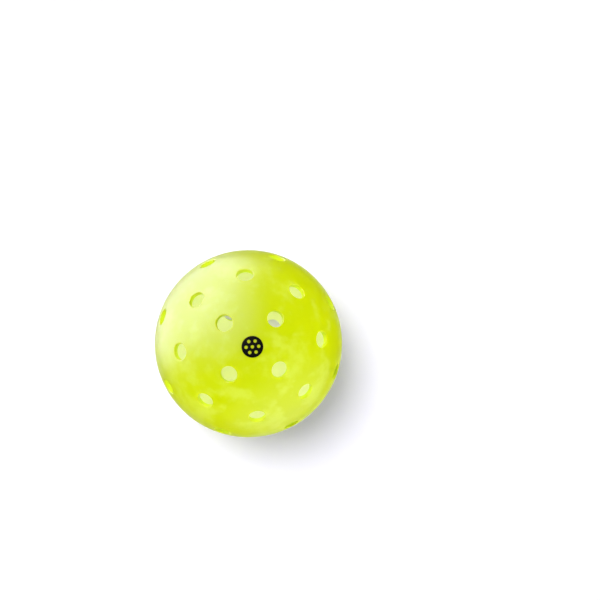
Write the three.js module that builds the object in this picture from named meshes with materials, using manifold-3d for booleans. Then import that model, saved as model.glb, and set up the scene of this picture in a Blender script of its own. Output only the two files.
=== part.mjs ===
// A pickleball ball: a hollow plastic sphere made of two identical perforated half shells,
// welded together round the equator, with a small mark printed at one pole.
// Millimetres, +Z up. The origin is the ball's centre, the weld plane is z = 0, and the
// +Z pole is the middle of the printed mark. +X passes through a hole of the middle ring.

import * as THREE from "three";
import { mergeVertices } from "three/addons/utils/BufferGeometryUtils.js";
import Module from "manifold-3d";

// ---- driving dimensions -------------------------------------------------------------

const ballDiameter = 74;
const wallThickness = 1.8;
const landThickness = 2.2; // wall at the weld plane, where the inside runs straight
const rimChamfer = 0.2; // chamfer on the outer edge of each rim, which leaves the weld line

const holeDiameter = 6.2;
const holeRings = [
  { holes: 4, degreesFromPole: 21.5, firstAzimuth: 45 },
  { holes: 8, degreesFromPole: 47, firstAzimuth: 0 },
  { holes: 8, degreesFromPole: 73.5, firstAzimuth: 22.5 },
];
const lowerShellTurn = -22.5; // degrees about Z, so that the edge holes of the halves interleave

const beadWidth = 2.4; // ridge of re-melted plastic inside the joint, measured along Z
const beadHeight = 0.7; // how far the ridge stands in from the land
const beadGap = 0.05;

const markDiameter = 8;
const markInkThickness = 0.05;
const markInkGap = 0.02;
const markHoleDiameter = 1.3;
const markHoleRingRadius = 2.35;
const markRingHoles = 6;

// ---- worked out from them -----------------------------------------------------------

const outerRadius = ballDiameter / 2;
const innerRadius = outerRadius - wallThickness;
const landRadius = outerRadius - landThickness;
const landTop = Math.sqrt(innerRadius ** 2 - landRadius ** 2); // where land meets inner sphere

// ---- fineness of the facets ---------------------------------------------------------

const roundSegments = 48; // around Z, a multiple of 16 so that turned halves stay in line
const markSegments = 24;
const arcSteps = 12; // from the pole to the rim
const holeSides = 20;
const beadArcSteps = 6;
const markArcSteps = 1;
const markHoleSides = 10;

// ---- materials ----------------------------------------------------------------------

const shellPlastic = () => new THREE.MeshStandardMaterial({
  color: 0xd6ea0c,
  roughness: 0.42,
  metalness: 0,
});

const meltedPlastic = () => new THREE.MeshStandardMaterial({
  color: 0xcfe21a,
  roughness: 0.3,
  metalness: 0,
});

const blackInk = () => new THREE.MeshStandardMaterial({
  color: 0x0c0c0c,
  roughness: 0.55,
  metalness: 0,
});

// ---- geometry helpers ---------------------------------------------------------------

const manifoldLibrary = await Module();
manifoldLibrary.setup();

const radians = THREE.MathUtils.degToRad;

// A three.js geometry as a solid that can be joined and cut.
function solidFrom(geometry) {
  const bare = geometry.clone();
  bare.deleteAttribute("normal");
  bare.deleteAttribute("uv");
  const merged = mergeVertices(bare);
  return new manifoldLibrary.Manifold(new manifoldLibrary.Mesh({
    numProp: 3,
    vertProperties: merged.attributes.position.array,
    triVerts: new Uint32Array(merged.index.array),
  }));
}

// A solid as a three.js geometry.
function geometryFrom(solid) {
  const mesh = solid.getMesh();
  const geometry = new THREE.BufferGeometry();
  geometry.setAttribute("position", new THREE.BufferAttribute(mesh.vertProperties, 3));
  geometry.setIndex(new THREE.BufferAttribute(mesh.triVerts, 1));
  geometry.computeVertexNormals();
  return geometry;
}

// Points of an arc about the origin, as (distance from Z, height), by angle from the +Z pole.
function arcPoints(radius, fromAngle, toAngle, steps) {
  const points = [];
  for (let step = 0; step <= steps; step += 1) {
    const angle = fromAngle + ((toAngle - fromAngle) * step) / steps;
    points.push(new THREE.Vector2(radius * Math.sin(angle), radius * Math.cos(angle)));
  }
  return points;
}

// A profile turned about Z. Walking along it keeps the outside of the solid on the right.
function turnedAboutZ(profile, segments = roundSegments) {
  return new THREE.LatheGeometry(profile, segments).rotateX(Math.PI / 2);
}

// Unit vector at an angle from the +Z pole and an azimuth from +X, both in degrees.
function directionAt(degreesFromPole, azimuth) {
  const polar = radians(degreesFromPole);
  const round = radians(azimuth);
  return new THREE.Vector3(
    Math.sin(polar) * Math.cos(round),
    Math.sin(polar) * Math.sin(round),
    Math.cos(polar),
  );
}

// A straight cutter with its axis through the origin along a direction.
function radialCutter(direction, diameter, fromRadius, toRadius, sides) {
  const length = toRadius - fromRadius;
  const cutter = new THREE.CylinderGeometry(diameter / 2, diameter / 2, length, sides);
  cutter.translate(0, fromRadius + length / 2, 0);
  const turn = new THREE.Quaternion().setFromUnitVectors(new THREE.Vector3(0, 1, 0), direction);
  return solidFrom(cutter.applyQuaternion(turn));
}

// ---- pieces -------------------------------------------------------------------------

// One moulding, open side down: a hemisphere with a straight land inside its rim.
function plainHalfShell() {
  const chamferAngle = Math.acos(rimChamfer / outerRadius);
  const landAngle = Math.acos(landTop / innerRadius);
  return solidFrom(turnedAboutZ([
    ...arcPoints(innerRadius, 0, landAngle, arcSteps),
    new THREE.Vector2(landRadius, 0),
    new THREE.Vector2(outerRadius - rimChamfer, 0),
    ...arcPoints(outerRadius, chamferAngle, 0, arcSteps),
  ]));
}

function perforatedHalfShell() {
  const cutterMargin = 3;
  let shell = plainHalfShell();
  for (const ring of holeRings) {
    for (let hole = 0; hole < ring.holes; hole += 1) {
      const azimuth = ring.firstAzimuth + (360 * hole) / ring.holes;
      const direction = directionAt(ring.degreesFromPole, azimuth);
      shell = shell.subtract(radialCutter(
        direction,
        holeDiameter,
        innerRadius - cutterMargin,
        outerRadius + cutterMargin,
        holeSides,
      ));
    }
  }
  return geometryFrom(shell);
}

// The ridge of re-melted plastic: flat against the land, rounded towards the centre.
function weldBead() {
  const wallSide = landRadius - beadGap;
  const profile = [new THREE.Vector2(wallSide, -beadWidth / 2)];
  for (let step = 0; step <= beadArcSteps; step += 1) {
    const angle = Math.PI / 2 - (Math.PI * step) / beadArcSteps;
    const inward = beadHeight * Math.cos(angle);
    profile.push(new THREE.Vector2(wallSide - inward, (beadWidth / 2) * Math.sin(angle)));
  }
  return geometryFrom(solidFrom(turnedAboutZ(profile)));
}

// The printed mark: a thin round film with one hole in the middle and a ring of holes.
function printedMark() {
  const inside = outerRadius + markInkGap;
  const outside = inside + markInkThickness;
  const halfAngle = Math.asin(markDiameter / 2 / outerRadius);
  let film = solidFrom(turnedAboutZ([
    ...arcPoints(inside, 0, halfAngle, markArcSteps),
    ...arcPoints(outside, halfAngle, 0, markArcSteps),
  ], markSegments));
  const cutterMargin = 1;
  const ringAngle = THREE.MathUtils.radToDeg(Math.asin(markHoleRingRadius / outerRadius));
  const directions = [directionAt(0, 0)];
  for (let hole = 0; hole < markRingHoles; hole += 1) {
    directions.push(directionAt(ringAngle, (360 * hole) / markRingHoles));
  }
  for (const direction of directions) {
    film = film.subtract(radialCutter(
      direction,
      markHoleDiameter,
      inside - cutterMargin,
      outside + cutterMargin,
      markHoleSides,
    ));
  }
  return geometryFrom(film);
}

// ---- the ball -----------------------------------------------------------------------

function addPiece(group, name, geometry, material) {
  const mesh = new THREE.Mesh(geometry, material);
  mesh.name = name;
  group.add(mesh);
  return mesh;
}

const ball = new THREE.Group();
const halfShell = perforatedHalfShell();

addPiece(ball, "printed_half_shell", halfShell, shellPlastic());

// The lower half is the same moulding turned over and then turned about Z.
const lowerShell = addPiece(ball, "plain_half_shell", halfShell.clone().scale(1, -1, -1), shellPlastic());
lowerShell.rotation.z = radians(lowerShellTurn);

addPiece(ball, "weld_bead", weldBead(), meltedPlastic());
addPiece(ball, "printed_mark", printedMark(), blackInk());

export default ball;
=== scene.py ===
import math

import bpy
from mathutils import Matrix, Vector, noise
from mathutils.geometry import delaunay_2d_cdt


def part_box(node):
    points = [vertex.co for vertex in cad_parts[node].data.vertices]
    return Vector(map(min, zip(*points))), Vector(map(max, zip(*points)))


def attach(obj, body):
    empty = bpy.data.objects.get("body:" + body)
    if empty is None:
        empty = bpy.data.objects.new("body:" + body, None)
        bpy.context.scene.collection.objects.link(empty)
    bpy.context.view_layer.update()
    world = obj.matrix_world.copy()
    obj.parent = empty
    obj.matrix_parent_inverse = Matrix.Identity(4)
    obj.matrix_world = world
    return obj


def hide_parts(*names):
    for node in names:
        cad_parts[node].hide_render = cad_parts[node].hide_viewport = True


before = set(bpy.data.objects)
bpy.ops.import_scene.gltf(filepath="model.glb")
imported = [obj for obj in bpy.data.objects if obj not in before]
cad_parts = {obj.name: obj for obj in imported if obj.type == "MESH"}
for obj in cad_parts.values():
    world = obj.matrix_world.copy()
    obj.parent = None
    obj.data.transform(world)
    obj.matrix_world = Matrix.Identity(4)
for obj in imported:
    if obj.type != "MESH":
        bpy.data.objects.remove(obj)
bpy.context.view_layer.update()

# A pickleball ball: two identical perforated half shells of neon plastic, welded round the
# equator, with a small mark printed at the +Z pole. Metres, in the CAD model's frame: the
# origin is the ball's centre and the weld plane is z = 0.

MM = 0.001
Z_AXIS = Vector((0, 0, 1))

# ---- driving dimensions ---------------------------------------------------------------

outer_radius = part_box("printed_half_shell")[1].z
wall_thickness = 1.8 * MM
land_thickness = 2.2 * MM          # wall at the weld plane, where the inside runs straight
rim_round = 0.2 * MM               # rounding of each rim's outer edge, which leaves the weld line
land_bevel_depth = 0.15 * MM       # bevel of each rim's inner edge, along the weld face
land_bevel_height = 0.1 * MM       # and up the land
land_bevel_lean = 0.4              # how far the normal at the bevel's top leans to the weld face
land_rows = (0.35, 0.7)            # heights of the rows of vertices up the land, as shares of it
weld_half_gap = 0.01 * MM

hole_radius = 3.1 * MM
outer_lip_round = 0.4 * MM
inner_lip_round = 0.25 * MM
hole_rings = (                     # (holes, degrees from the pole, first azimuth)
    (4, 21.5, 45.0),
    (8, 47.0, 0.0),
    (8, 73.5, 22.5),
)
lower_shell_turn = math.radians(-22.5)

mark_radius = 4.0 * MM
mark_lift = 0.005 * MM             # the ink film's underside above the plastic
mark_thickness = 0.045 * MM
mark_edge_round = 0.02 * MM
mark_hole_radius = 0.65 * MM
mark_hole_ring = 2.35 * MM
mark_ring_holes = 6

bead_width = 2.4 * MM
bead_height = 0.7 * MM
bead_gap = 0.05 * MM
bead_unevenness = 0.16             # how far the width wanders, as a share of it
bead_lumpiness = 0.24              # how far the height does, apart from following the width
bead_sway = 0.12 * MM              # how far the bead wanders off the weld plane
bead_fullness = 0.8                # 1 is a half ellipse, less has steeper flanks

inner_radius = outer_radius - wall_thickness
land_radius = outer_radius - land_thickness
land_top = math.sqrt(inner_radius ** 2 - land_radius ** 2)

# How fine the meshes are.
shell_edge_points = 192
shell_hole_points = 56
shell_lip_steps = 5
shell_rim_steps = 5
shell_outer_spacing = 1.35 * MM
shell_inner_spacing = 1.9 * MM
mark_edge_points = 144
mark_hole_points = 40
mark_lip_steps = 3
mark_rim_steps = 3
mark_outer_spacing = 0.3 * MM
mark_inner_spacing = 0.5 * MM
bead_points_around = 320
bead_points_across = 14

# How the points of a skin are spread. Shares are of the spacing wanted at the place.
spacing_growth = 0.22              # growth of the spacing for each unit away from an edge
edge_clearance = 0.6               # share kept free of points beside an edge
row_pitch = 0.87                   # share from one row of even triangles to the next
crowding_limit = 0.72              # share below which a new point is dropped
filler_pitch = 0.8                 # share between the points that are tried in the open
least_ring_points = 8
weld_distance = 1e-9               # below this two points of the flat map are one


# ---- mesh building ----------------------------------------------------------------------

def direction_at(degrees_from_pole, azimuth):
    """Unit vector at an angle from +Z and an azimuth from +X, both in degrees."""
    polar = math.radians(degrees_from_pole)
    around = math.radians(azimuth)
    return Vector((
        math.sin(polar) * math.cos(around),
        math.sin(polar) * math.sin(around),
        math.cos(polar),
    ))


def around_axis(axis, count, turn=0.0):
    """Unit vectors at right angles to an axis, evenly round it, anticlockwise from outside."""
    far_from_axis = Z_AXIS if abs(axis.z) < 0.9 else Vector((1, 0, 0))
    side = axis.cross(far_from_axis).normalized()
    other = axis.cross(side)
    angles = [turn + 2 * math.pi * i / count for i in range(count)]
    return [side * math.cos(angle) + other * math.sin(angle) for angle in angles]


def ring_of_points(axis, polar, count, turn=0.0):
    """Unit vectors evenly round an axis, at an angle from it."""
    spokes = around_axis(axis, count, turn)
    return [axis * math.cos(polar) + spoke * math.sin(polar) for spoke in spokes]


def fibonacci_cap(polar_limit, spacing):
    """Evenly spread unit vectors on the cap round +Z, about spacing apart (in radians)."""
    golden_angle = math.pi * (3 - math.sqrt(5))
    cap_area = 2 * math.pi * (1 - math.cos(polar_limit))
    area_per_point = spacing ** 2 * math.sqrt(3) / 2
    count = max(1, int(cap_area / area_per_point))
    points = []
    for i in range(count):
        z = 1 - (1 - math.cos(polar_limit)) * (i + 0.5) / count
        flat = math.sqrt(1 - z * z)
        around = i * golden_angle
        points.append(Vector((flat * math.cos(around), flat * math.sin(around), z)))
    return points


class Crowd:
    """Points sorted into cells, so that the neighbours of a place are quick to find."""

    def __init__(self, cell):
        self.cell = cell
        self.points = []
        self.grid = {}

    def key(self, point):
        return tuple(math.floor(c / self.cell) for c in point)

    def add(self, point):
        self.grid.setdefault(self.key(point), []).append(point)
        self.points.append(point)

    def crowded(self, point, distance):
        """Whether a point is nearer than a distance, which is at most one cell."""
        x, y, z = self.key(point)
        limit = distance * distance
        for i in (x - 1, x, x + 1):
            for j in (y - 1, y, y + 1):
                for k in (z - 1, z, z + 1):
                    for other in self.grid.get((i, j, k), ()):
                        if (point - other).length_squared < limit:
                            return True
        return False


class Body:
    """A mesh in the making: vertices, each with the exact normal of the surface, and faces."""

    def __init__(self):
        self.places = []
        self.normals = []
        self.faces = []

    def vertex(self, place, normal):
        self.places.append(place)
        self.normals.append(normal.normalized())
        return len(self.places) - 1

    def bridge(self, upper, lower):
        """Quads between two closed loops of as many vertices, facing away from their axis."""
        count = len(upper)
        for i in range(count):
            j = (i + 1) % count
            self.faces.append((upper[i], lower[i], lower[j], upper[j]))

    def sweep(self, axis, rows, first_loop, last_loop, faces_out):
        """Quads round an axis, from one loop through rows of new vertices to another loop.

        Each row is (distance from the axis, height along it, normal's two parts).
        """
        spokes = around_axis(axis, len(first_loop))
        loops = [first_loop]
        for out, along, normal_out, normal_along in rows:
            loops.append([
                self.vertex(axis * along + spoke * out, axis * normal_along + spoke * normal_out)
                for spoke in spokes
            ])
        loops.append(last_loop)
        for upper, lower in zip(loops, loops[1:]):
            if faces_out:
                self.bridge(upper, lower)
            else:
                self.bridge(lower, upper)

    def mesh(self, name):
        mesh = bpy.data.meshes.new(name)
        mesh.from_pydata(self.places, [], self.faces)
        mesh.shade_smooth()
        mesh.normals_split_custom_set_from_vertices(self.normals)
        mesh.update()
        return mesh


def rounded_corner(centre_out, centre_up, rounding, from_angle, to_angle, steps):
    """Rows for Body.sweep along an arc, by angle from the axis towards the outside."""
    rows = []
    for step in range(steps + 1):
        angle = from_angle + (to_angle - from_angle) * step / steps
        out = math.sin(angle)
        up = math.cos(angle)
        rows.append((centre_out + rounding * out, centre_up + rounding * up, out, up))
    return rows


def lip_profile(sphere_radius, bore_radius, rounding, outside, steps):
    """Rows along the rounded edge between a sphere and a bore towards its centre.

    They run from the sphere to the bore for an outer edge, and back for an inner one.
    """
    reach = sphere_radius - rounding if outside else sphere_radius + rounding
    centre_out = bore_radius + rounding
    centre_up = math.sqrt(reach ** 2 - centre_out ** 2)
    lean = math.atan2(centre_out, centre_up)
    facing_bore = -math.pi / 2
    if outside:
        return rounded_corner(centre_out, centre_up, rounding, lean, facing_bore, steps)
    return rounded_corner(centre_out, centre_up, rounding, facing_bore, lean - math.pi, steps)


def skin(body, radius, outward, edge_polar, edge_count, holes, hole_polar, hole_count, spacing):
    """One side of a perforated cap, exactly on a sphere, with even triangles.

    Widening rings of points surround each hole, evenly spread points fill the rest, and a
    Delaunay triangulation of their stereographic map joins them. Lengths are angles in radians
    here. Returns the vertex loop of the cap's edge and then that of each hole.
    """
    edge_step = 2 * math.pi * math.sin(edge_polar) / edge_count
    hole_step = 2 * math.pi * math.sin(hole_polar) / hole_count
    crowd = Crowd(spacing)
    loops = []
    rings = [ring_of_points(Z_AXIS, edge_polar, edge_count)]
    rings += [ring_of_points(hole, hole_polar, hole_count) for hole in holes]
    for ring in rings:
        loops.append(range(len(crowd.points), len(crowd.points) + len(ring)))
        for point in ring:
            crowd.add(point)

    def wanted_spacing(point):
        """How far apart points should be here, or 0 off the skin or too near its edges."""
        from_edge = edge_polar - math.acos(min(point.z, 1.0))
        if from_edge < edge_clearance * edge_step:
            return 0.0
        wanted = min(spacing, edge_step + spacing_growth * from_edge)
        for hole in holes:
            from_hole = point.angle(hole) - hole_polar
            if from_hole < edge_clearance * hole_step:
                return 0.0
            wanted = min(wanted, hole_step + spacing_growth * from_hole)
        return wanted

    candidates = []
    ring_polar = hole_polar
    step = hole_step
    level = 0
    while step < spacing:
        ring_polar += row_pitch * step
        step = hole_step + spacing_growth * (ring_polar - hole_polar)
        level += 1
        count = max(least_ring_points, round(2 * math.pi * math.sin(ring_polar) / step))
        for hole in holes:
            candidates += ring_of_points(hole, ring_polar, count, level * math.pi / count)
    beside_edge = edge_polar - row_pitch * edge_step
    candidates += ring_of_points(Z_AXIS, beside_edge, edge_count, math.pi / edge_count)
    candidates += fibonacci_cap(edge_polar, spacing * filler_pitch)
    for point in candidates:
        wanted = wanted_spacing(point)
        if wanted and not crowd.crowded(point, crowding_limit * wanted):
            crowd.add(point)

    flat = [Vector((p.x / (1 + p.z), p.y / (1 + p.z))) for p in crowd.points]
    edges = [(loop[i - 1], loop[i]) for loop in loops for i in range(len(loop))]
    _, _, triangles, sources, _, _ = delaunay_2d_cdt(flat, edges, [], 0, weld_distance, True)
    source = [matches[0] for matches in sources]
    loop_of = {index: number for number, loop in enumerate(loops) for index in loop}
    vertices = [body.vertex(p * radius, p if outward else -p) for p in crowd.points]
    for triangle in triangles:
        corners = [source[v] for v in triangle]
        owners = {loop_of.get(corner, -1) for corner in corners}
        if len(owners) == 1 and owners.pop() > 0:
            continue  # it spans a hole
        a, b, c = (crowd.points[corner] for corner in corners)
        faces_out = (b - a).cross(c - a).dot(a) > 0
        face = [vertices[corner] for corner in corners]
        body.faces.append(face if faces_out == outward else face[::-1])
    return [[vertices[i] for i in loop] for loop in loops]


def perforated_cap(name, outer, inner, outer_edge, inner_edge, edge_count, rim, holes, bore,
                   outer_round, inner_round, lip_steps, hole_count, outer_spacing, inner_spacing):
    """A closed cap round +Z, with rounded holes towards its centre.

    The edges are angles from +Z, and rim is the rows that join the outer one to the inner one.
    """
    body = Body()
    outer_lip = lip_profile(outer, bore, outer_round, True, lip_steps)
    inner_lip = lip_profile(inner, bore, inner_round, False, lip_steps)
    outer_polar = math.atan2(outer_lip[0][0], outer_lip[0][1])
    inner_polar = math.atan2(inner_lip[-1][0], inner_lip[-1][1])
    outer_loops = skin(body, outer, True, outer_edge, edge_count, holes, outer_polar,
                       hole_count, outer_spacing / outer)
    inner_loops = skin(body, inner, False, inner_edge, edge_count, holes, inner_polar,
                       hole_count, inner_spacing / inner)
    for hole, outer_loop, inner_loop in zip(holes, outer_loops[1:], inner_loops[1:]):
        body.sweep(hole, outer_lip[1:] + inner_lip[:-1], outer_loop, inner_loop, False)
    body.sweep(Z_AXIS, rim, outer_loops[0], inner_loops[0], True)
    return body.mesh(name)


def piece(name, mesh, material, node):
    obj = bpy.data.objects.new(name, mesh)
    bpy.context.scene.collection.objects.link(obj)
    obj.data.materials.append(material)
    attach(obj, "root")
    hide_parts(node)


# ---- the pieces' shapes -------------------------------------------------------------------

def half_shell_mesh(name):
    """One moulding, open side down."""
    centre_up = weld_half_gap + rim_round
    centre_out = math.sqrt((outer_radius - rim_round) ** 2 - centre_up ** 2)
    lean = math.atan2(centre_out, centre_up)
    rim = rounded_corner(centre_out, centre_up, rim_round, lean, math.pi, shell_rim_steps)[1:]
    rim += [
        (land_radius + land_bevel_depth, weld_half_gap, 0, -1),
        (land_radius, weld_half_gap + land_bevel_height, -1, -land_bevel_lean),
    ]
    rim += [(land_radius, land_top * share, -1, 0) for share in land_rows]
    directions = [
        direction_at(from_pole, first + 360 * i / count)
        for count, from_pole, first in hole_rings
        for i in range(count)
    ]
    return perforated_cap(
        name, outer_radius, inner_radius,
        outer_edge=lean, inner_edge=math.acos(land_top / inner_radius),
        edge_count=shell_edge_points, rim=rim, holes=directions, bore=hole_radius,
        outer_round=outer_lip_round, inner_round=inner_lip_round, lip_steps=shell_lip_steps,
        hole_count=shell_hole_points,
        outer_spacing=shell_outer_spacing, inner_spacing=shell_inner_spacing,
    )


def turned_over(mesh, name):
    """The same moulding for the other side of the weld plane, turned about Z."""
    other = mesh.copy()
    other.name = name
    move = Matrix.Rotation(lower_shell_turn, 4, "Z") @ Matrix.Rotation(math.pi, 4, "X")
    turn = move.to_3x3()
    normals = [turn @ corner.vector for corner in mesh.corner_normals]
    other.transform(move)
    other.normals_split_custom_set(normals)
    return other


def mark_mesh(name):
    """The printed film: a round mark with one hole in the middle and a ring of holes."""
    outer = outer_radius + mark_lift + mark_thickness
    inner = outer_radius + mark_lift
    edge = math.asin(mark_radius / outer)
    ring_polar = math.degrees(math.asin(mark_hole_ring / outer))
    holes = [Z_AXIS]
    holes += [direction_at(ring_polar, 360 * i / mark_ring_holes) for i in range(mark_ring_holes)]
    centre_out = (outer - mark_edge_round) * math.sin(edge)
    centre_up = (outer - mark_edge_round) * math.cos(edge)
    rim = rounded_corner(
        centre_out, centre_up, mark_edge_round, edge, math.pi / 2 + edge, mark_rim_steps,
    )[1:]
    return perforated_cap(
        name, outer, inner,
        outer_edge=edge, inner_edge=edge,
        edge_count=mark_edge_points, rim=rim, holes=holes, bore=mark_hole_radius,
        outer_round=mark_edge_round, inner_round=mark_edge_round / 2, lip_steps=mark_lip_steps,
        hole_count=mark_hole_points,
        outer_spacing=mark_outer_spacing, inner_spacing=mark_inner_spacing,
    )


def bead_mesh(name):
    """The ridge of re-melted plastic inside the joint, a little uneven as a weld is.

    Each noise has its own scale, in waves for each radius along the joint.
    """
    places = []
    for i in range(bead_points_around):
        angle = 2 * math.pi * i / bead_points_around
        spoke = Vector((math.cos(angle), math.sin(angle), 0))
        wander = noise.noise(spoke * 9.0) + 0.5 * noise.noise(spoke * 31.0)
        lumps = bead_lumpiness * noise.noise(spoke * 17.0) + 0.1 * wander
        sideways = bead_sway * noise.noise(spoke * 14.0 + Vector((5, 0, 0)))
        width = bead_width * (1 + bead_unevenness * wander)
        height = bead_height * (1 + lumps)
        for j in range(bead_points_across + 1):
            turn = math.pi * j / bead_points_across
            swell = max(math.sin(turn), 0.0) ** bead_fullness
            out = land_radius - bead_gap - height * swell
            up = width / 2 * math.cos(turn) + sideways
            places.append(spoke * out + Vector((0, 0, up)))
    row = bead_points_across + 1
    faces = []
    for i in range(bead_points_around):
        here = i * row
        following = (i + 1) % bead_points_around * row
        for j in range(row):
            k = (j + 1) % row
            faces.append((here + j, following + j, following + k, here + k))
    mesh = bpy.data.meshes.new(name)
    mesh.from_pydata(places, [], faces)
    mesh.shade_smooth()
    return mesh


# ---- materials ----------------------------------------------------------------------------

class Nodes:
    """Short calls for building a node tree."""

    def __init__(self, tree):
        self.tree = tree

    def link(self, output, socket):
        self.tree.links.new(output, socket)

    def feed(self, socket, value):
        """Sets a socket to a number or colour, or links another node's output to it."""
        if isinstance(value, tuple) and socket.type == "RGBA":
            socket.default_value = (*value, 1)
        elif isinstance(value, (int, float, tuple)):
            socket.default_value = value
        else:
            self.link(value, socket)

    def calculate(self, operation, first, second):
        node = self.tree.nodes.new("ShaderNodeMath")
        node.operation = operation
        self.feed(node.inputs[0], first)
        self.feed(node.inputs[1], second)
        return node.outputs[0]

    def spread(self, value, from_low, from_high, to_low=0.0, to_high=1.0):
        """Maps one range smoothly onto another and holds the ends outside it."""
        node = self.tree.nodes.new("ShaderNodeMapRange")
        node.interpolation_type = "SMOOTHSTEP"
        self.feed(node.inputs["From Min"], from_low)
        self.feed(node.inputs["From Max"], from_high)
        self.feed(node.inputs["To Min"], to_low)
        self.feed(node.inputs["To Max"], to_high)
        self.link(value, node.inputs["Value"])
        return node.outputs["Result"]

    def mix(self, factor, first, second):
        """A colour that goes from the first to the second as the factor goes from 0 to 1."""
        node = self.tree.nodes.new("ShaderNodeMix")
        node.data_type = "RGBA"
        self.link(factor, node.inputs["Factor"])
        first_colour, second_colour = node.inputs[6:8]
        self.feed(first_colour, first)
        self.feed(second_colour, second)
        return node.outputs[2]


class Material(Nodes):
    """One principled material, patterned by place on the ball."""

    def __init__(self, name):
        self.data = bpy.data.materials.new(name)
        self.data.use_nodes = True
        super().__init__(self.data.node_tree)
        self.tree.nodes.clear()
        self.shader = self.tree.nodes.new("ShaderNodeBsdfPrincipled")
        output = self.tree.nodes.new("ShaderNodeOutputMaterial")
        self.link(self.shader.outputs["BSDF"], output.inputs["Surface"])
        self.place = self.tree.nodes.new("ShaderNodeTexCoord").outputs["Object"]

    def set(self, socket, value):
        self.feed(self.shader.inputs[socket], value)

    def noise(self, scale, detail=3.0, roughness=0.5, distortion=0.0):
        node = self.tree.nodes.new("ShaderNodeTexNoise")
        node.inputs["Scale"].default_value = scale
        node.inputs["Detail"].default_value = detail
        node.inputs["Roughness"].default_value = roughness
        node.inputs["Distortion"].default_value = distortion
        self.link(self.place, node.inputs["Vector"])
        return node.outputs["Fac"]

    def distance_from_centre(self):
        node = self.tree.nodes.new("ShaderNodeVectorMath")
        node.operation = "LENGTH"
        self.link(self.place, node.inputs[0])
        return node.outputs["Value"]

    def height(self):
        node = self.tree.nodes.new("ShaderNodeSeparateXYZ")
        self.link(self.place, node.inputs[0])
        return node.outputs["Z"]

    def bump(self, value, distance):
        node = self.tree.nodes.new("ShaderNodeBump")
        node.inputs["Distance"].default_value = distance
        self.link(value, node.inputs["Height"])
        self.link(node.outputs["Normal"], self.shader.inputs["Normal"])

    def translucent(self):
        """What all the ball's plastic has in common."""
        self.set("IOR", 1.6)
        self.set("Subsurface Weight", 1.0)
        self.set("Subsurface Radius", (1.0, 1.0, 0.6))
        self.set("Subsurface Scale", 1.3 * MM)


BLACK = (0.0, 0.0, 0.0)
NEON = (0.66, 0.76, 0.002)
PALE_NEON = (0.715, 0.82, 0.06)
WALL_NEON = (0.65, 0.76, 0.012)
# The inside colours are paler, bluer copies of the plastic: painted light for what comes through
# the translucent wall.
INSIDE_NEON_PAINTED_LIGHT = (0.80, 0.83, 0.31)
INSIDE_PALE_PAINTED_LIGHT = (0.86, 0.88, 0.44)
WELD_NEON = (0.56, 0.67, 0.002)
INSIDE_PAINTED_GLOW = (0.18, 0.20, 0.15)   # painted light: a steady glow for the light that comes through the wall
# Painted light too: a glow part way up the hole walls, and a glow on the weld bead.
WALL_PAINTED_GLOW = (0.085, 0.105, 0.006)
BEAD_PAINTED_GLOW = tuple(0.7 * c for c in INSIDE_PAINTED_GLOW)
INK = (0.002, 0.002, 0.002)
THIN_INK = (0.009, 0.009, 0.006)


def shell_plastic():
    """Satin neon plastic: cloudy where the melt flowed, with painted light on the inside (a paler
    colour and a glow) and a painted glow up the hole walls.
    """
    m = Material("shell_plastic")
    clouds = m.noise(scale=70.0, detail=2.0, distortion=0.6)
    flecks = m.noise(scale=330.0, detail=3.0)
    cloudy = m.calculate("ADD", clouds, m.calculate("MULTIPLY", flecks, 0.5))
    outside_colour = m.mix(m.spread(cloudy, 0.68, 0.98), NEON, PALE_NEON)
    from_weld = m.calculate("ABSOLUTE", m.height(), 0.0)
    off_weld = m.spread(from_weld, 0.15 * MM, 0.9 * MM)
    outside_colour = m.mix(off_weld, WELD_NEON, outside_colour)
    radius = m.distance_from_centre()
    off_inside = m.spread(radius, inner_radius + 0.005 * MM, inner_radius + 0.1 * MM)
    outermost = m.spread(radius, outer_radius - 0.7 * MM, outer_radius - 0.1 * MM)
    wall_colour = m.mix(outermost, WALL_NEON, outside_colour)
    # Painted light: the inside takes these paler colours.
    painted_light_inside_colour = m.mix(m.spread(clouds, 0.35, 0.65), INSIDE_NEON_PAINTED_LIGHT, INSIDE_PALE_PAINTED_LIGHT)
    m.set("Base Color", m.mix(off_inside, painted_light_inside_colour, wall_colour))
    up_the_wall = m.spread(radius, inner_radius + 0.6 * MM, outer_radius - 0.25 * MM)
    # Painted light: the inside and the inner part of the hole walls glow, though they are no
    # lamp.
    wall_painted_glow = m.mix(up_the_wall, WALL_PAINTED_GLOW, BLACK)
    m.set("Emission Color", m.mix(off_inside, INSIDE_PAINTED_GLOW, wall_painted_glow))
    m.set("Emission Strength", 1.0)
    m.set("Roughness", m.spread(m.noise(scale=240.0, detail=5.0), 0.3, 0.7, 0.28, 0.38))
    m.translucent()
    waves = m.calculate("MULTIPLY", m.noise(scale=90.0), 2.2)
    m.bump(m.calculate("ADD", m.noise(scale=1400.0, detail=2.0), waves), 0.02 * MM)
    return m.data


def weld_plastic():
    """The same plastic, melted and set again: glossier, and yellower in places, where it takes
    the paler painted-light inside colour; it has a painted glow too.
    """
    m = Material("weld_plastic")
    m.set("Base Color", m.mix(m.spread(m.noise(scale=160.0), 0.35, 0.65), WALL_NEON, INSIDE_NEON_PAINTED_LIGHT))
    # Painted light: the bead glows, though it is no lamp.
    m.set("Emission Color", BEAD_PAINTED_GLOW)
    m.set("Emission Strength", 1.0)
    m.set("Roughness", m.spread(m.noise(scale=420.0), 0.3, 0.7, 0.18, 0.34))
    m.translucent()
    m.bump(m.noise(scale=700.0, detail=3.0), 0.05 * MM)
    return m.data


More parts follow.
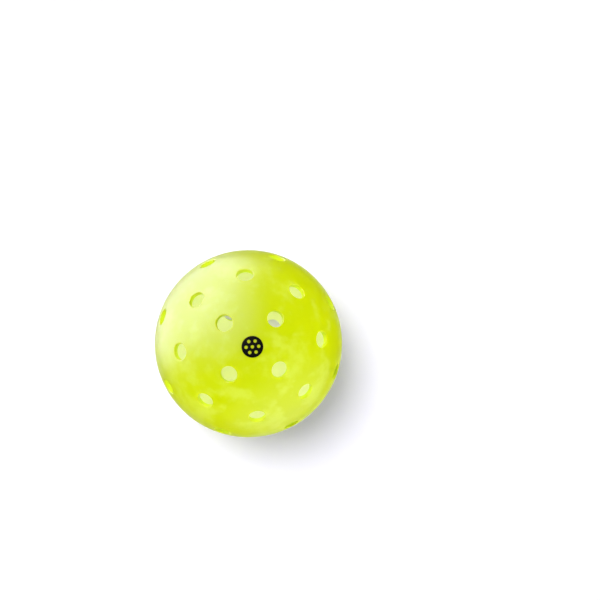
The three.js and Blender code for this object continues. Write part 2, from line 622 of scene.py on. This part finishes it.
def mark_ink():
    """Black pad-printing ink: thin, satin, with a faint mottle where it took unevenly."""
    m = Material("mark_ink")
    mottle = m.noise(scale=2600.0, detail=4.0, roughness=0.6)
    m.set("Base Color", m.mix(m.spread(mottle, 0.5, 0.8), INK, THIN_INK))
    m.set("Specular IOR Level", 0.15)
    m.set("Roughness", m.spread(mottle, 0.3, 0.7, 0.42, 0.6))
    m.bump(mottle, 0.01 * MM)
    return m.data


# ---- stage, light and camera ----------------------------------------------------------------

# The camera looks almost straight down the ball's +Z, as the photo does. "The view's right and
# up" are those of a camera that looks straight at the ball's centre.
camera_distance_in_radii = 15.0
ball_share_of_frame = 0.3117       # the outline's diameter over the frame's width
ball_place_in_frame = (-0.0855, -0.0725)   # right and up of the middle, over the frame's width
pole_in_view = (0.037, -0.033)     # right and up of the outline's centre, over the radius
pattern_roll = math.radians(4.9)   # +X against the view's right, anticlockwise
sensor_width = 36.0                # in millimetres, as Blender's lenses are

table_half_width = 3.0
table_colour = (0.98, 0.97, 1.0)
# The table's emission is painted light, standing in for light from below.
table_painted_glow = (0.06, 0.05, 0.18)
painted_pool_fade = (0.2, 0.9)            # painted pool of light: metres out where the table's colour and glow start to fall off, and where they are the backdrop's
backdrop = 0.74                    # how bright the backdrop is against the table
key_azimuth = 137.0                # degrees from the view's right, anticlockwise
key_zenith = 21.0                  # degrees from the direction to the camera
key_spread = math.radians(30.0)    # how wide the soft box looks from the ball
key_strength = 2.68

# What lights the ball from all sides, and what its gloss reflects. Each panel is its strength
# and soft masks that multiply: (azimuth, zenith, cosine to that direction where the mask
# starts, cosine where it is full). No mask means light from everywhere.
tent_panels = (
    (0.14, ()),
    (5.1, ((0.0, 0.0, 0.35, 0.0), (-48.0, 90.0, -0.9, 0.7))),
)
gloss_panels = (
    (4.4, ((140.0, 112.0, 0.35, 0.85), (157.0, 75.0, 0.0, 0.40), (113.0, 90.0, 0.0, 0.28),
           (0.0, 0.0, -1.30, -0.35))),
    (2.4, ((138.0, 50.0, 0.60, 0.95),)),
    (0.8, ((-60.0, 98.0, 0.62, 0.95),)),
    (0.7, ((0.0, 180.0, 0.80, 1.00),)),
)
WHITE = (1.0, 1.0, 1.0)
gloss_tint = (0.74, 0.72, 1.0)


def view_axes():
    """The view's right, up and towards-the-camera directions in the ball's frame."""
    right, up = pole_in_view
    pole = Vector((right, up, math.sqrt(1 - right ** 2 - up ** 2)))
    across = (Vector((1, 0, 0)) - pole * pole.x).normalized()
    along = pole.cross(across)
    x_axis = across * math.cos(pattern_roll) + along * math.sin(pattern_roll)
    to_view = Matrix((x_axis, pole.cross(x_axis), pole))
    return [to_view @ Vector(axis) for axis in ((1, 0, 0), (0, 1, 0), (0, 0, 1))]


def in_view(azimuth, zenith):
    """A direction by degrees from the view's right and from the direction to the camera."""
    right, up, back = view_axes()
    around = math.radians(azimuth)
    tilt = math.radians(zenith)
    sideways = right * math.cos(around) + up * math.sin(around)
    return sideways * math.sin(tilt) + back * math.cos(tilt)


def make_camera():
    """The photo's viewing angle, framing and perspective."""
    right, up, back = view_axes()
    data = bpy.data.cameras.new("camera")
    data.sensor_width = sensor_width
    outline_slope = 1 / math.sqrt(camera_distance_in_radii ** 2 - 1)
    data.lens = sensor_width * (ball_share_of_frame / 2) / outline_slope
    camera = bpy.data.objects.new("camera", data)
    bpy.context.scene.collection.objects.link(camera)
    x, y = ball_place_in_frame
    seen_at = Vector((x * sensor_width, y * sensor_width, -data.lens))
    aim = seen_at.rotation_difference(Vector((0, 0, -1))).to_matrix()
    turn = Matrix((right, up, back)).transposed() @ aim
    position = back * camera_distance_in_radii * outer_radius
    camera.matrix_world = Matrix.Translation(position) @ turn.to_4x4()
    bpy.context.scene.camera = camera


def make_floor():
    """A white table with a painted glow for light from below, and a painted pool of light: its
    colour and glow fall off away from the ball into the backdrop.
    """
    size = table_half_width
    corners = [(-size, -size), (size, -size), (size, size), (-size, size)]
    mesh = bpy.data.meshes.new("floor")
    mesh.from_pydata([(x, y, -outer_radius) for x, y in corners], [], [(0, 1, 2, 3)])
    floor = bpy.data.objects.new("floor", mesh)
    bpy.context.scene.collection.objects.link(floor)
    m = Material("floor_white")
    # Painted pool of light: the table is brightest round the ball and falls off to the backdrop's
    # grey.
    outside_painted_pool = m.spread(m.distance_from_centre(), *painted_pool_fade)
    far_colour = tuple(backdrop * c for c in table_colour)
    m.set("Base Color", m.mix(outside_painted_pool, table_colour, far_colour))
    m.set("Roughness", 0.9)
    m.set("Specular IOR Level", 0.0)
    m.set("Emission Color", m.mix(outside_painted_pool, table_painted_glow, BLACK))
    m.set("Emission Strength", 1.0)
    mesh.materials.append(m.data)
    floor.visible_glossy = False


def make_key():
    """The soft light that throws the shadow."""
    data = bpy.data.lights.new("key", "SUN")
    data.angle = key_spread
    data.energy = key_strength
    light = bpy.data.objects.new("key", data)
    bpy.context.scene.collection.objects.link(light)
    light.rotation_mode = "QUATERNION"
    light.rotation_quaternion = in_view(key_azimuth, key_zenith).to_track_quat("Z", "Y")
    light.visible_camera = False
    light.visible_glossy = False


def make_world():
    """A dim tent, brighter beside the table at the lower right, and soft boxes for the gloss.

    The camera itself sees only the plain backdrop.
    """
    world = bpy.data.worlds.new("studio")
    world.use_nodes = True
    world.cycles.sampling_method = "NONE"
    background = world.node_tree.nodes["Background"]
    n = Nodes(world.node_tree)
    direction = n.tree.nodes.new("ShaderNodeTexCoord").outputs["Generated"]
    ray = n.tree.nodes.new("ShaderNodeLightPath")
    is_glossy = ray.outputs["Is Glossy Ray"]
    is_camera = ray.outputs["Is Camera Ray"]

    def cosine_to(axis):
        dot = n.tree.nodes.new("ShaderNodeVectorMath")
        dot.operation = "DOT_PRODUCT"
        n.link(direction, dot.inputs[0])
        dot.inputs[1].default_value = axis
        return dot.outputs["Value"]

    def light_of(panels):
        total = 0.0
        for strength, masks in panels:
            panel = strength
            for azimuth, zenith, starts, full in masks:
                mask = n.spread(cosine_to(in_view(azimuth, zenith)), starts, full)
                panel = n.calculate("MULTIPLY", mask, panel)
            total = n.calculate("ADD", panel, total)
        return total

    def choose(condition, yes, no):
        chosen = n.calculate("MULTIPLY", condition, yes)
        rest = n.calculate("MULTIPLY", n.calculate("SUBTRACT", 1.0, condition), no)
        return n.calculate("ADD", chosen, rest)

    seen = choose(is_glossy, light_of(gloss_panels), light_of(tent_panels))
    seen = choose(is_camera, backdrop, seen)
    n.link(seen, background.inputs["Strength"])
    n.link(n.mix(is_glossy, WHITE, gloss_tint), background.inputs["Color"])
    bpy.context.scene.world = world
    view = bpy.context.scene.view_settings
    view.view_transform = "Standard"
    view.look = "None"


# ---- the ball ---------------------------------------------------------------------------------

plastic = shell_plastic()
printed_shell = half_shell_mesh("printed_half_shell_skin")
plain_shell = turned_over(printed_shell, "plain_half_shell_skin")
piece("moulded_printed_half", printed_shell, plastic, "printed_half_shell")
piece("moulded_plain_half", plain_shell, plastic, "plain_half_shell")
piece("weld_ridge", bead_mesh("weld_ridge"), weld_plastic(), "weld_bead")
piece("ink_film", mark_mesh("ink_film"), mark_ink(), "printed_mark")

make_floor()
make_key()
make_world()
make_camera()
